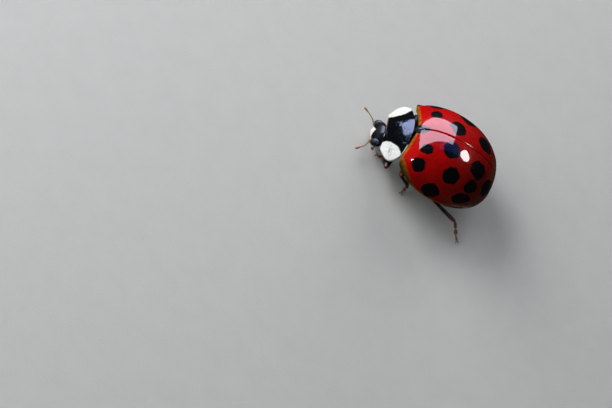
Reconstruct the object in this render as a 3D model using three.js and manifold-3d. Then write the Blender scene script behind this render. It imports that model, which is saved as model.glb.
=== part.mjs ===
// Harlequin ladybird (Harmonia axyridis), life size, standing on six feet.
// Millimetres, +Z up. The head points to -X and the left side is -Y.
// The whole body is modelled first and then parted by thin cuts, one node for each named part.

import * as THREE from 'three';
import { mergeVertices } from 'three/addons/utils/BufferGeometryUtils.js';
import Module from 'manifold-3d';

const wasm = await Module();
wasm.setup();

// ---------------------------------------------------------------- driving dimensions

const PARTING = 0.045; // width of the thin cuts between neighbouring parts
const RIM_HEIGHT = 1.32; // lower edge of the wing cases above the ground
const WIDEST_TO_FRONT = 3.33; // plan outline, forward semi-axis
const WIDEST_TO_REAR = 3.375; // plan outline, rear semi-axis
const HALF_WIDTH = 2.76; // of both wing cases together
const CROWN_HEIGHT = 2.27; // top of the wing cases above their lower edge
const BROW = 2.61; // forward semi-axis of the midline profile, which falls steeply
const CASE_THICKNESS = 0.5;
const OUTLINE_POWER = 2.15; // a little fuller than an ellipse
const ARCH_POWER = 2.1;
const SHOULDER_RISE = 0.36; // the lower edge climbs towards the shoulders
const SHOULDER_AT = 2.28;
const CASE_FRONT = 2.19; // front edge of the wing cases on the midline, ahead of the widest place
const FRONT_SWEEP = 0.24; // how much further forward that edge lies at the shoulders
const SWEEP_END = 1.8; // from the midline
const CORNER_START = 1.83; // where the shoulder's corner begins to round back
const CORNER_DEPTH = 0.25;
const CORNER_WIDTH = 0.3;
const BELLY_DEPTH = 0.42; // of the underside below the lower edge

const PRONOTUM_HINGE = [-2.36, 0.05, RIM_HEIGHT + 1.01]; // middle of its hind edge
const PRONOTUM_HALF_WIDTH = 1.83;
const PRONOTUM_LENGTH = 1.575; // on the midline
const PRONOTUM_PITCH = 39; // degrees, sloping down to the front
const PRONOTUM_YAW = 2.6; // degrees, turned to the left
const PRONOTUM_WIDEST = 0.31; // share of its length from the hind edge
const PRONOTUM_TAPER = 0.81; // how fast it narrows ahead of and behind its widest place
const PRONOTUM_CORNER = 0.08; // rounding of its four corners
const PRONOTUM_HOLLOWS = { hind: 0.46, front: 0.155 }; // how far its edges bend forward at the sides
const PRONOTUM_ARCH = 0.215; // each of the two curves that lower its sides
const PRONOTUM_SAG = 0.265; // how far its front bends down
const PRONOTUM_SWELL = 0.05; // of its middle

const HEAD_CENTRE = [-3.585, -0.21, RIM_HEIGHT - 0.606];
const HEAD_HALF_WIDTH = 0.78;
const HEAD_HALF_LENGTH = 0.52; // crown to mouth
const HEAD_HALF_DEPTH = 0.37;
const HEAD_PITCH = 62; // degrees, face turned down
const HEAD_YAW = 6; // degrees, turned to the left
const EYE_SPACING = 0.6; // from the middle of the head to each eye

const LIMB_RADIUS = 0.25; // of shins and feet
const FEELER_RADIUS = 0.22;

const CUTICLE_RED = 0xb3130e;
const CUTICLE_BLACK = 0x14110f;
const CUTICLE_BROWN = 0x5a2a18;
const CUTICLE_AMBER = 0xb9772f;
const CUTICLE_CREAM = 0xe9e2cf;

// ---------------------------------------------------------------- helpers

const vec = (p) => new THREE.Vector3(...p);

function toSolid(geometry) {
  const bare = geometry.clone();
  bare.deleteAttribute('normal');
  bare.deleteAttribute('uv');
  const merged = mergeVertices(bare, 1e-5);
  const mesh = new wasm.Mesh({
    numProp: 3,
    vertProperties: merged.attributes.position.array,
    triVerts: new Uint32Array(merged.index.array),
  });
  return new wasm.Manifold(mesh);
}

function toGeometry(solid) {
  const mesh = solid.getMesh();
  const geometry = new THREE.BufferGeometry();
  geometry.setAttribute('position', new THREE.BufferAttribute(mesh.vertProperties, mesh.numProp));
  geometry.setIndex(new THREE.BufferAttribute(mesh.triVerts, 1));
  geometry.computeVertexNormals();
  return geometry;
}

// The same solid with every point pushed out along its normal, for cutting a neighbour.
function grown(solid, distance = PARTING) {
  const geometry = toGeometry(solid);
  const { position, normal } = geometry.attributes;
  for (let i = 0; i < position.count; i++) {
    position.setXYZ(
      i,
      position.getX(i) + distance * normal.getX(i),
      position.getY(i) + distance * normal.getY(i),
      position.getZ(i) + distance * normal.getZ(i),
    );
  }
  return toSolid(geometry);
}

const without = (solid, ...others) => others.reduce((left, other) => left.subtract(grown(other)), solid);

function reshape(geometry, place) {
  const { position } = geometry.attributes;
  const point = new THREE.Vector3();
  for (let i = 0; i < position.count; i++) {
    point.fromBufferAttribute(position, i);
    place(point);
    position.setXYZ(i, point.x, point.y, point.z);
  }
  return geometry;
}

// A box given by its two corners.
function block(low, high) {
  const size = vec(high).sub(vec(low));
  const middle = vec(low).addScaledVector(size, 0.5);
  return toSolid(new THREE.BoxGeometry(size.x, size.y, size.z).translate(middle.x, middle.y, middle.z));
}

function ellipsoid(radii, frame, around = 20, rings = 12) {
  const geometry = new THREE.SphereGeometry(1, around, rings).rotateX(Math.PI / 2).scale(...radii);
  return toSolid(geometry.applyMatrix4(frame));
}

// A frame that faces forward (-X), then pitches its front down and turns it to the left.
function facing(origin, pitch, yaw) {
  const turn = new THREE.Euler(0, THREE.MathUtils.degToRad(-pitch), THREE.MathUtils.degToRad(yaw), 'ZYX');
  return new THREE.Matrix4().makeRotationFromEuler(turn).setPosition(vec(origin));
}

const placed = (frame, local) => vec(local).applyMatrix4(frame).toArray();

// A round-ended limb whose axis runs a little past start and end, so that neighbours can be
// joined or parted at full width. Its radius runs through three values, and flat squeezes it in
// the upright direction.
function limb(start, end, radii, { flat = 1, sides = 8, rings = 6, past = 0.11 } = {}) {
  const along = vec(end).sub(vec(start));
  const length = along.length() + 2 * past;
  const profile = [];
  for (let k = 0; k <= rings; k++) {
    const t = (1 - Math.cos((Math.PI * k) / rings)) / 2;
    const half = t < 0.5 ? 0 : 1;
    const swell = THREE.MathUtils.lerp(radii[half], radii[half + 1], 2 * t - half);
    const round = Math.sqrt(Math.max(1 - Math.abs(2 * t - 1) ** 7, 0));
    profile.push(new THREE.Vector2(k === 0 || k === rings ? 0 : swell * round, t * length));
  }
  const yAxis = along.normalize();
  const root = vec(start).addScaledVector(yAxis, -past);
  const xAxis = new THREE.Vector3().crossVectors(yAxis, new THREE.Vector3(0, 0, 1)).normalize();
  const zAxis = new THREE.Vector3().crossVectors(xAxis, yAxis);
  const frame = new THREE.Matrix4().makeBasis(xAxis, yAxis, zAxis).setPosition(root);
  return toSolid(new THREE.LatheGeometry(profile, sides).scale(1, 1, flat).applyMatrix4(frame));
}

// ---------------------------------------------------------------- trunk and wing cases

const fullness = (x, semi, power) => Math.max(1 - Math.abs(x / semi) ** power, 0) ** (1 / power);

const rimAt = (x) => RIM_HEIGHT + SHOULDER_RISE * (Math.max(-x, 0) / SHOULDER_AT) ** 2.5;

// A domed body: a sphere whose upper half follows the wing cases and whose lower half is the belly.
function dome({ front, rear, halfWidth, height, brow, belly }, around, rings) {
  const geometry = new THREE.SphereGeometry(1, around, rings).rotateX(Math.PI / 2);
  return toSolid(reshape(geometry, (p) => {
    const radius = Math.min(Math.hypot(p.x, p.y), 1);
    const angle = Math.atan2(p.y, p.x);
    const lengthwise = Math.abs(Math.cos(angle) / (p.x < 0 ? front : rear)) ** OUTLINE_POWER;
    const crosswise = Math.abs(Math.sin(angle) / halfWidth) ** OUTLINE_POWER;
    const reach = radius * (lengthwise + crosswise) ** (-1 / OUTLINE_POWER);
    p.x = reach * Math.cos(angle);
    p.y = reach * Math.sin(angle);
    const rim = rimAt(p.x);
    if (p.z < 0) {
      p.z = rim - belly * Math.sqrt(1 - radius ** 2);
      return;
    }
    const half = halfWidth * fullness(p.x, p.x < 0 ? front : rear, OUTLINE_POWER);
    const crown = RIM_HEIGHT + height * fullness(p.x, p.x < 0 ? brow : rear, OUTLINE_POWER);
    const across = half > 1e-6 ? Math.min(Math.abs(p.y) / half, 1) : 1;
    p.z = rim + Math.max(crown - rim, 0) * fullness(across, 1, ARCH_POWER);
  }));
}

const outer = {
  front: WIDEST_TO_FRONT,
  rear: WIDEST_TO_REAR,
  halfWidth: HALF_WIDTH,
  height: CROWN_HEIGHT,
  brow: BROW,
  belly: 0,
};

const inner = {
  front: WIDEST_TO_FRONT - CASE_THICKNESS,
  rear: WIDEST_TO_REAR - CASE_THICKNESS,
  halfWidth: HALF_WIDTH - CASE_THICKNESS,
  height: CROWN_HEIGHT - CASE_THICKNESS,
  brow: 2.25,
  belly: BELLY_DEPTH,
};

const trunk = dome(inner, 22, 10);

// Everything ahead of the front edge of the wing cases.
function aheadOfCases() {
  const geometry = new THREE.BoxGeometry(1, 1, 1, 1, 24, 1);
  return toSolid(reshape(geometry, (p) => {
    const y = 3.2 * 2 * p.y;
    const sweep = FRONT_SWEEP * Math.min(Math.abs(y) / SWEEP_END, 1);
    const corner = CORNER_DEPTH * (Math.max(Math.abs(y) - CORNER_START, 0) / CORNER_WIDTH) ** 2;
    p.x = p.x < 0 ? -5 : Math.min(-CASE_FRONT - sweep + corner, 0);
    p.y = y;
    p.z = p.z < 0 ? 0 : 5;
  }));
}

// The small shield between the bases of the wing cases, flush with them.
const scutellumFrame = facing([-2.13, 0, RIM_HEIGHT + 1.29], 50, 0);
const scutellumLobe = ellipsoid([0.3, 0.22, 0.14], scutellumFrame, 10, 6);
const cases = dome(outer, 30, 14).subtract(grown(trunk)).subtract(aheadOfCases());

// ---------------------------------------------------------------- prothorax

const pronotumFrame = facing(PRONOTUM_HINGE, PRONOTUM_PITCH, PRONOTUM_YAW);

// The shield: a box bent into an arched plate with a hollow front edge, where the head sits.
function pronotumPlate() {
  const geometry = new THREE.BoxGeometry(1, 1, 1, 6, 12, 1);
  reshape(geometry, (p) => {
    const along = -2 * p.x;
    const across = 2 * p.y;
    const s = (along * Math.sqrt(1 - PRONOTUM_CORNER * across ** 2) + 1) / 2;
    const t = across * Math.sqrt(1 - PRONOTUM_CORNER * along ** 2);
    const width = 1 - PRONOTUM_TAPER * (s - PRONOTUM_WIDEST) ** 2;
    const hindEdge = PRONOTUM_HOLLOWS.hind * t ** 2;
    const frontEdge = PRONOTUM_LENGTH + PRONOTUM_HOLLOWS.front * t ** 2;
    const forward = hindEdge + s * (frontEdge - hindEdge);
    const sides = Math.abs(t) ** 2.2 + (1 - Math.cos(Math.PI * t)) / 2;
    const middle = (1 - t ** 4) * Math.max(Math.sin(Math.PI * s), 0);
    const drop = PRONOTUM_ARCH * sides * width ** 2 + PRONOTUM_SAG * (forward / PRONOTUM_LENGTH) ** 2;
    const thickness = 0.16 + 0.3 * middle;
    p.set(-forward, t * PRONOTUM_HALF_WIDTH * width, PRONOTUM_SWELL * middle - drop - (p.z < 0 ? thickness : 0));
  });
  return toSolid(geometry.applyMatrix4(pronotumFrame));
}

const pronotum = pronotumPlate();

// ---------------------------------------------------------------- head

const headFrame = facing(HEAD_CENTRE, HEAD_PITCH, HEAD_YAW);
const onHead = (forward, across, up) => placed(headFrame, [-forward, across, up]);

// An ellipsoid on the head: its radii run forward, across and up from the face.
function headLobe(forward, across, up, radii, around = 10, rings = 8) {
  const frame = facing(onHead(forward, across, up), HEAD_PITCH, HEAD_YAW);
  return ellipsoid(radii, frame, around, rings);
}

const SIDES = { l: -1, r: 1 };

const skull = headLobe(0, 0, 0, [HEAD_HALF_LENGTH, HEAD_HALF_WIDTH, HEAD_HALF_DEPTH], 16, 10);
const eyes = {};
for (const [side, sign] of Object.entries(SIDES)) {
  eyes[side] = headLobe(0.05, sign * EYE_SPACING, 0.14, [0.27, 0.2, 0.22], 10, 6);
}
const head = without(skull, pronotum, eyes.l, eyes.r);
const labrum = without(headLobe(0.5, 0, -0.02, [0.14, 0.28, 0.14], 10, 6), skull);

// Feelers: socket and end of the first length, the bend, and both ends of the club.
const FEELERS = {
  l: {
    scape: [[-3.84, -0.58, 0.6], [-3.93, -0.88, 0.5]],
    bend: [-4.05, -1.17, 0.48],
    club: [[-4.29, -1.4, 0.47], [-4.49, -1.6, 0.49]],
  },
  r: {
    scape: [[-3.92, 0.22, 0.6], [-4.08, 0.4, 0.66]],
    bend: [-4.26, 0.58, 0.69],
    club: [[-4.57, 0.76, 0.72], [-4.78, 0.86, 0.72]],
  },
};

const SLIM = { sides: 7, rings: 5, past: 0.06 };

function buildFeeler({ scape, bend, club }, ...neighbours) {
  const thin = FEELER_RADIUS * 0.92;
  const wide = FEELER_RADIUS * 1.08;
  const scapeLobe = limb(scape[0], scape[1], [FEELER_RADIUS, FEELER_RADIUS, thin], SLIM);
  const nearHalf = limb(scape[1], bend, [thin, thin, thin], SLIM);
  const funicle = nearHalf.add(limb(bend, club[0], [thin, thin, thin], SLIM));
  return {
    scape: without(scapeLobe, ...neighbours),
    funicle: without(funicle, scapeLobe),
    club: without(limb(club[0], club[1], [thin, wide, wide], SLIM), funicle),
  };
}

const mouth = {};
for (const [side, sign] of Object.entries(SIDES)) {
  const mandible = headLobe(0.42, sign * 0.2, -0.24, [0.17, 0.15, 0.13], 8, 6);
  const palpRoot = onHead(0.3, sign * 0.5, -0.34);
  const palpElbow = onHead(0.34, sign * 0.66, -0.26);
  const palpTip = onHead(0.38, sign * 0.82, -0.18);
  const palpStalk = limb(palpRoot, palpElbow, [0.14, 0.15, 0.15], SLIM);
  const palp = palpStalk.add(limb(palpElbow, palpTip, [0.14, 0.18, 0.19], SLIM));
  const feeler = buildFeeler(FEELERS[side], skull, eyes[side]);
  mouth[side] = {
    mandible: without(mandible, skull, labrum),
    palp: without(palp, skull, eyes[side], mandible),
    feeler,
  };
}

// ---------------------------------------------------------------- legs

// The six legs are fixed to the body in mirrored pairs. Right-hand places; the left is -Y.
const HIPS = {
  front: { hip: [-2.45, 0.45, 0.8], thighRoot: [-2.45, 0.75, 0.66] },
  mid: { hip: [-1.3, 0.5, 0.84], thighRoot: [-1.33, 0.85, 0.66] },
  hind: { hip: [0.3, 0.45, 0.82], thighRoot: [0.38, 0.85, 0.66] },
};

// Where each leg bends and where it stands: knee, ankle, toe.
const STANCE = {
  front_l: [[-2.7, -2.06, 0.92], [-2.77, -1.13, 0.34], [-3.03, -1.03, 0.14]],
  mid_l: [[-1.78, -2.16, 1.1], [-0.93, -2.0, 0.42], [-1.04, -2.36, 0.14]],
  hind_l: [[0.55, -2.4, 0.96], [2.31, -2.55, 0.44], [2.86, -3.32, 0.14]],
  front_r: [[-2.5, 1.86, 0.9], [-2.8, 1.05, 0.34], [-3.1, 0.84, 0.14]],
  mid_r: [[-1.0, 2.36, 1.02], [-0.32, 2.98, 0.42], [-0.22, 3.38, 0.14]],
  hind_r: [[0.62, 2.4, 0.96], [2.2, 2.7, 0.44], [2.72, 3.28, 0.14]],
};

const aboveGround = block([-6, -6, 0], [6, 6, 6]);

function buildLeg(name, [knee, ankle, toe]) {
  const [pair, side] = name.split('_');
  const onSide = ([x, y, z]) => [x, SIDES[side] * y, z];
  const hip = onSide(HIPS[pair].hip);
  const thighRoot = onSide(HIPS[pair].thighRoot);
  const coxa = limb(hip, thighRoot, [0.3, 0.33, 0.26]);
  const femur = limb(thighRoot, knee, [0.24, 0.29, 0.25], { flat: 0.9 });
  const tibia = limb(knee, ankle, [LIMB_RADIUS, LIMB_RADIUS * 0.96, LIMB_RADIUS]);
  const tarsus = limb(ankle, toe, [LIMB_RADIUS * 0.92, LIMB_RADIUS, LIMB_RADIUS * 0.92]);
  return {
    coxa,
    femur: without(femur, coxa, pronotum),
    tibia: without(tibia, femur),
    tarsus: without(tarsus, tibia).intersect(aboveGround),
  };
}

const legs = {};
for (const [name, joints] of Object.entries(STANCE)) legs[name] = buildLeg(name, joints);

const thighs = Object.values(legs).flatMap((leg) => [leg.coxa, leg.femur]);

// ---------------------------------------------------------------- underside

const breastFrame = facing(placed(pronotumFrame, [-0.78, 0, -0.72]), PRONOTUM_PITCH, PRONOTUM_YAW);
const breast = ellipsoid([0.7, 1.15, 0.42], breastFrame, 10, 6);
const prosternum = without(breast, pronotum, skull, ...thighs);
const opened = without(cases, scutellumLobe, pronotum);
const lowerBody = without(trunk, scutellumLobe, pronotum, breast, skull, ...thighs);

const NECK = -2.5; // where the body behind the prothorax starts

// The body behind the neck, from front to back, with the place where each part ends.
const SECTIONS = [
  ['mesosternum', -1.4],
  ['metasternum', 0.25],
  ['abdomen_1', 0.8],
  ['abdomen_2', 1.22],
  ['abdomen_3', 1.6],
  ['abdomen_4', 1.97],
  ['abdomen_5', 2.36],
  ['abdomen_6', 6],
];

// ---------------------------------------------------------------- assembly

const insect = new THREE.Group();

function add(name, solid, colour, roughness = 0.3) {
  const material = new THREE.MeshStandardMaterial({ color: colour, roughness, metalness: 0 });
  const mesh = new THREE.Mesh(toGeometry(solid), material);
  mesh.name = name;
  insect.add(mesh);
}

add('head', head, CUTICLE_BLACK);
add('labrum', labrum, CUTICLE_CREAM);
for (const side of Object.keys(SIDES)) {
  add(`eye_${side}`, eyes[side], CUTICLE_BLACK, 0.2);
  add(`mandible_${side}`, mouth[side].mandible, CUTICLE_BROWN);
  add(`palp_${side}`, mouth[side].palp, CUTICLE_AMBER);
  for (const [part, solid] of Object.entries(mouth[side].feeler)) {
    add(`antenna_${side}_${part}`, solid, CUTICLE_AMBER);
  }
}
add('pronotum', pronotum, CUTICLE_BLACK, 0.15);
add('prosternum', prosternum, CUTICLE_BLACK);
add('scutellum', without(scutellumLobe, pronotum), CUTICLE_BLACK);
add('elytron_l', opened.intersect(block([-6, -6, 0], [6, -PARTING / 2, 6])), CUTICLE_RED, 0.15);
add('elytron_r', opened.intersect(block([-6, PARTING / 2, 0], [6, 6, 6])), CUTICLE_RED, 0.15);
let sectionStart = NECK;
for (const [name, end] of SECTIONS) {
  add(name, lowerBody.intersect(block([sectionStart, -6, 0], [end - PARTING, 6, 6])), CUTICLE_BLACK);
  sectionStart = end;
}
for (const [name, leg] of Object.entries(legs)) {
  for (const [part, solid] of Object.entries(leg)) add(`${name}_${part}`, solid, CUTICLE_BROWN);
}

// The origin stands on the ground under the middle of the whole body.
const middle = new THREE.Box3().setFromObject(insect).getCenter(new THREE.Vector3());
insect.position.set(-middle.x, -middle.y, 0);

export default insect;
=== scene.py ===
import math
import random

import bmesh
import bpy
from bpy.props import FloatProperty, FloatVectorProperty, IntProperty, PointerProperty
from mathutils import Matrix, Vector, noise


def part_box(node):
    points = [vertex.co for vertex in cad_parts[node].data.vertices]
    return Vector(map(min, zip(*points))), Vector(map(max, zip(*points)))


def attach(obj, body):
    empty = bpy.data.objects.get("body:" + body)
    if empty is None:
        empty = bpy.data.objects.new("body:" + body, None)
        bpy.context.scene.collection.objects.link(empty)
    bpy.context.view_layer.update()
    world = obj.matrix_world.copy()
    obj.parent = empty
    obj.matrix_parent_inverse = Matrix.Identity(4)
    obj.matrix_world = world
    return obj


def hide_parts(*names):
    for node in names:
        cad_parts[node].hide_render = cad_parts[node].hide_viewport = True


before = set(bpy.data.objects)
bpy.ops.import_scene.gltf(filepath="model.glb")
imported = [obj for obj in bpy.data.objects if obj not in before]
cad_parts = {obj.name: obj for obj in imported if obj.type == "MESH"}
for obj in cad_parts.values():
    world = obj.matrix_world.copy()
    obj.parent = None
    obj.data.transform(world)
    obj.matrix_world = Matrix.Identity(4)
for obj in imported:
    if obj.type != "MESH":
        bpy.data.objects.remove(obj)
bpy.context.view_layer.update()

bl_info = {
    "name": "Harlequin Ladybird",
    "version": (1, 0, 0),
    "blender": (4, 5, 0),
    "location": "View3D > Sidebar > Ladybird",
    "description": "Models a life-size harlequin ladybird over its packed solids",
    "category": "Add Mesh",
}

# ---- places and sizes
# Lengths here are millimetres in the insect's own frame: head towards -X, left side -Y, the
# ground at z = 0, and the origin under the widest place of the wing cases.

MM = 0.001
RIM_HEIGHT = 1.32
WIDEST_TO_FRONT = 3.33
WIDEST_TO_REAR = 3.375
HALF_WIDTH = 2.76
CROWN_HEIGHT = 2.27
BROW = 2.61  # how far ahead of the widest place the dome would meet its rim
OUTLINE_POWER = 2.15
ARCH_POWER = 2.1
SHOULDER_RISE = 0.36
SHOULDER_AT = 2.28
CASE_FRONT = 2.19
FRONT_SWEEP = 0.24
SWEEP_END = 1.8
CORNER_START = 1.83
CORNER_DEPTH = 0.25
CORNER_WIDTH = 0.3
SHOULDER_HALF = 2.0
PARTING = 0.045

case_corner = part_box("elytron_r")
SHIFT = Vector((
    case_corner[1].x - WIDEST_TO_REAR * MM,
    case_corner[0].y - PARTING / 2 * MM,
    0,
))
TO_FRAME = Matrix.Translation(SHIFT) @ Matrix.Scale(MM, 4)

SIDES = {"l": -1, "r": 1}


def facing(origin, pitch, yaw):
    """A frame that faces forward (-X), with its front pitched down and turned to the left."""
    turn = Matrix.Rotation(math.radians(yaw), 4, "Z") @ Matrix.Rotation(math.radians(-pitch), 4, "Y")
    return Matrix.Translation(origin) @ turn


PRONOTUM = facing((-2.36, 0.05, RIM_HEIGHT + 1.01), 39, 2.6)
PRONOTUM_HALF_WIDTH = 1.83
PRONOTUM_LENGTH = 1.575
PRONOTUM_WIDEST = 0.31
PRONOTUM_TAPER = 0.81
PRONOTUM_CORNER = 0.08
PRONOTUM_ARCH = 0.215
PRONOTUM_SAG = 0.265
PRONOTUM_SWELL = 0.05
PRONOTUM_WALL = 0.1
PRONOTUM_HOLLOW = 0.3
SCUTELLUM = facing((-2.13, 0, RIM_HEIGHT + 1.29), 50, 0)
SCUTELLUM_RADII = (0.3, 0.22, 0.14)
HEAD = facing((-3.585, -0.21, RIM_HEIGHT - 0.606), 62, 6)
HEAD_RADII = (0.52, 0.78, 0.37)  # crown to mouth, across, and through the face

# Right-hand places on the head: forward, across and up from its middle.
EYE_AT = (0.05, 0.6, 0.14)
EYE_RADII = (0.27, 0.2, 0.22)
EYE_SWELL = 1.012  # at the corners of the facets
LABRUM_AT = (0.47, 0, -0.02)
LABRUM_RADII = (0.13, 0.27, 0.1)
MANDIBLE_ENDS = ((0.34, 0.3, -0.2), (0.56, 0.06, -0.24))
MANDIBLE_BOW = (-0.05, 0.07, 0)
PALP_JOINTS = ((0.3, 0.46, -0.3), (0.33, 0.58, -0.27), (0.36, 0.69, -0.22), (0.41, 0.81, -0.15))
PALP_WIDTHS = ((0.05, 0.06, 0.05), (0.05, 0.055, 0.06), (0.05, 0.1, 0.13, 0.11))

# Middle of each black spot on the right wing case (the left one mirrors it), its radius, and how
# much of that radius it keeps along x, y and z.
SPOTS = (
    ((-1.57, 1.18, 3.02), 0.34, (1.0, 0.85, 1.0)),
    ((-1.56, 2.04, 2.52), 0.40, (1.0, 1.0, 1.0)),
    ((-0.33, 0.75, 3.50), 0.51, (1.0, 0.93, 1.0)),
    ((0.27, 1.92, 3.00), 0.49, (1.0, 1.0, 1.0)),
    ((-0.21, 2.69, 1.88), 0.55, (1.0, 1.0, 0.9)),
    ((1.57, 0.87, 3.27), 0.51, (1.1, 1.0, 1.0)),
    ((1.64, 1.75, 2.80), 0.42, (1.1, 1.0, 0.85)),
    ((1.57, 2.32, 2.14), 0.52, (1.1, 1.0, 0.72)),
    ((2.67, 1.06, 2.50), 0.53, (0.9, 0.9, 1.0)),
    ((-2.10, 0.0, 2.78), 0.50, (1.0, 0.6, 1.0)),
)

# Right-hand hips and thigh roots; the left ones mirror them.
HIPS = {
    "front": ((-2.45, 0.45, 0.80), (-2.45, 0.75, 0.66)),
    "mid": ((-1.30, 0.50, 0.84), (-1.33, 0.85, 0.66)),
    "hind": ((0.30, 0.45, 0.82), (0.38, 0.85, 0.66)),
}

# Where each leg bends and stands: knee, ankle, toe.
STANCE = {
    "front_l": ((-2.70, -2.06, 0.92), (-2.77, -1.13, 0.34), (-3.03, -1.03, 0.14)),
    "mid_l": ((-1.78, -2.16, 1.10), (-0.93, -2.00, 0.42), (-1.04, -2.36, 0.14)),
    "hind_l": ((0.55, -2.40, 0.96), (2.31, -2.55, 0.44), (2.86, -3.32, 0.14)),
    "front_r": ((-2.50, 1.86, 0.90), (-2.80, 1.05, 0.34), (-3.10, 0.84, 0.14)),
    "mid_r": ((-1.00, 2.36, 1.02), (-0.32, 2.98, 0.42), (-0.22, 3.38, 0.14)),
    "hind_r": ((0.62, 2.40, 0.96), (2.20, 2.70, 0.44), (2.72, 3.28, 0.14)),
}

# Feelers: socket, end of the first length, the bend, and both ends of the club. Then the share of
# a feeler's length at each of these, at the end of each of its eleven joints, and their radii.
FEELERS = {
    "l": ((-3.84, -0.58, 0.60), (-3.93, -0.88, 0.50), (-4.05, -1.17, 0.48), (-4.29, -1.40, 0.47),
          (-4.53, -1.63, 0.49)),
    "r": ((-3.92, 0.22, 0.60), (-4.08, 0.40, 0.66), (-4.26, 0.58, 0.69), (-4.57, 0.76, 0.72),
          (-4.84, 0.88, 0.72)),
}
FEELER_STATIONS = (0.0, 0.2, 0.4, 0.7, 1.0)
FEELER_JOINT_ENDS = (0.0, 0.16, 0.24, 0.36, 0.44, 0.51, 0.58, 0.65, 0.71, 0.81, 0.91, 1.0)
FEELER_RADII = (0.065, 0.052, 0.036, 0.034, 0.034, 0.034, 0.036, 0.042, 0.07, 0.09, 0.08)
FEELER_LAP = 0.01

# The underside from front to back, with the place where each part ends.
NECK = -2.5
SECTIONS = (
    ("mesosternum", -1.4),
    ("metasternum", 0.25),
    ("abdomen_1", 0.8),
    ("abdomen_2", 1.22),
    ("abdomen_3", 1.6),
    ("abdomen_4", 1.97),
    ("abdomen_5", 2.36),
    ("abdomen_6", 2.875),
)
BODY_END = 2.87
BODY_INSET = 0.5  # from the outline of the wing cases
BELLY_DEPTH = 0.42
BACK_HEIGHT = 1.7
BACK_BROW = 2.25
BREAST_AT = (-0.78, 0, -0.72)  # in the pronotum's frame
BREAST_RADII = (0.70, 1.15, 0.42)


# ---- shared shapes

BORDER_STEPS = 4  # around the rounded border of a plate
MERGE_DISTANCE = 2e-5


def clamp(value, low=0.0, high=1.0):
    return max(low, min(high, value))


def smooth(low, high, value):
    """0 below low, 1 above high, and a soft step between them."""
    t = clamp((value - low) / (high - low))
    return t * t * (3 - 2 * t)


def mix(a, b, t):
    return a + (b - a) * t


def fullness(x, semi, power):
    """Half width, from 1 to 0, of a rounded outline that ends semi away from its middle."""
    return max(1 - abs(x / semi) ** power, 0) ** (1 / power)


def mound(distance, radius):
    return math.exp(-(distance / radius) ** 2)


def rim_at(x):
    """Height of the wing cases' rim, which rises towards the shoulders."""
    return RIM_HEIGHT + SHOULDER_RISE * (max(-x, 0) / SHOULDER_AT) ** 2.5


def dome_half(x, inset):
    semi = (WIDEST_TO_FRONT if x < 0 else WIDEST_TO_REAR) - inset
    return (HALF_WIDTH - inset) * fullness(x, semi, OUTLINE_POWER)


def dome_crown(x, inset, wall):
    brow = BROW - wall if x < 0 else WIDEST_TO_REAR - inset
    return RIM_HEIGHT + (CROWN_HEIGHT - wall) * fullness(x, brow, OUTLINE_POWER)


def step_out(face, u, v, past_u, past_v):
    """The way out of a face at its border: past_u and past_v say which borders are crossed."""
    near = 1e-3
    way = Vector()
    if past_u:
        inside = face(u - math.copysign(near, past_u), v)
        way += (face(u, v) - inside).normalized() * abs(past_u)
    if past_v:
        inside = face(u, v - math.copysign(near, past_v))
        way += (face(u, v) - inside).normalized() * abs(past_v)
    return way.normalized()


def marks(bm):
    """Two numbers kept at each point: how far along the piece it lies, and how far across."""
    layers = bm.verts.layers.float
    return (layers.get("along") or layers.new("along"), layers.get("across") or layers.new("across"))


def add_shell(bm, outer, inner, cells, bulge, way_out=None):
    """Adds a closed plate. outer and inner are its two faces as functions of (u, v), and its
    border is rounded off between them, standing out by bulge."""
    along, across = marks(bm)
    nu, nv = cells
    way_out = way_out or (lambda u, v, a, b: step_out(outer, u, v, a, b))
    made = []
    for extra, face in ((BORDER_STEPS, outer), (0, inner)):
        wide, deep = nu + 2 * extra, nv + 2 * extra
        grid = bmesh.ops.create_grid(bm, x_segments=wide, y_segments=deep, size=1)["verts"]
        for vert in grid:
            i = round((vert.co.x + 1) / 2 * wide) - extra
            j = round((vert.co.y + 1) / 2 * deep) - extra
            u, v = clamp(i / nu), clamp(j / nv)
            past_u, past_v = i - round(u * nu), j - round(v * nv)
            turn = math.pi * max(abs(past_u), abs(past_v)) / BORDER_STEPS
            place = face(u, v)
            if turn:
                way = way_out(u, v, past_u, past_v)
                place = place.lerp(inner(u, v), (1 - math.cos(turn)) / 2) + way * bulge * math.sin(turn)
            vert.co = place
            vert[along], vert[across] = u, v
        made += grid
    bmesh.ops.remove_doubles(bm, verts=made, dist=MERGE_DISTANCE)


def limb_shape(start, end, radii, flat=1.0, bow=(0, 0, 0), blunt=1.0):
    """A round-ended length whose radius runs through the given values, as a function of t, from 0
    at its start to 1 at its end, and two numbers across it. flat squeezes it in the upright
    direction, bow bends its middle, and blunt shapes its two ends."""
    start, end, bow = Vector(start), Vector(end), Vector(bow)
    axis = end - start
    side = axis.cross(Vector((0, 0, 1)))
    side = side.normalized() if side.length > 1e-6 else Vector((1, 0, 0))
    up = side.cross(axis).normalized()

    def place(t, aside, above):
        stations = t * (len(radii) - 1)
        k = min(int(stations), len(radii) - 2)
        radius = mix(radii[k], radii[k + 1], smooth(0, 1, stations - k))
        reach = clamp(min(t, 1 - t) * axis.length / (radius * blunt))
        radius *= math.sqrt(1 - (1 - reach) ** 2)
        return (start + axis * t + bow * (4 * t * (1 - t))
                + side * (aside * radius) + up * (above * radius * flat))

    return place


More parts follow.
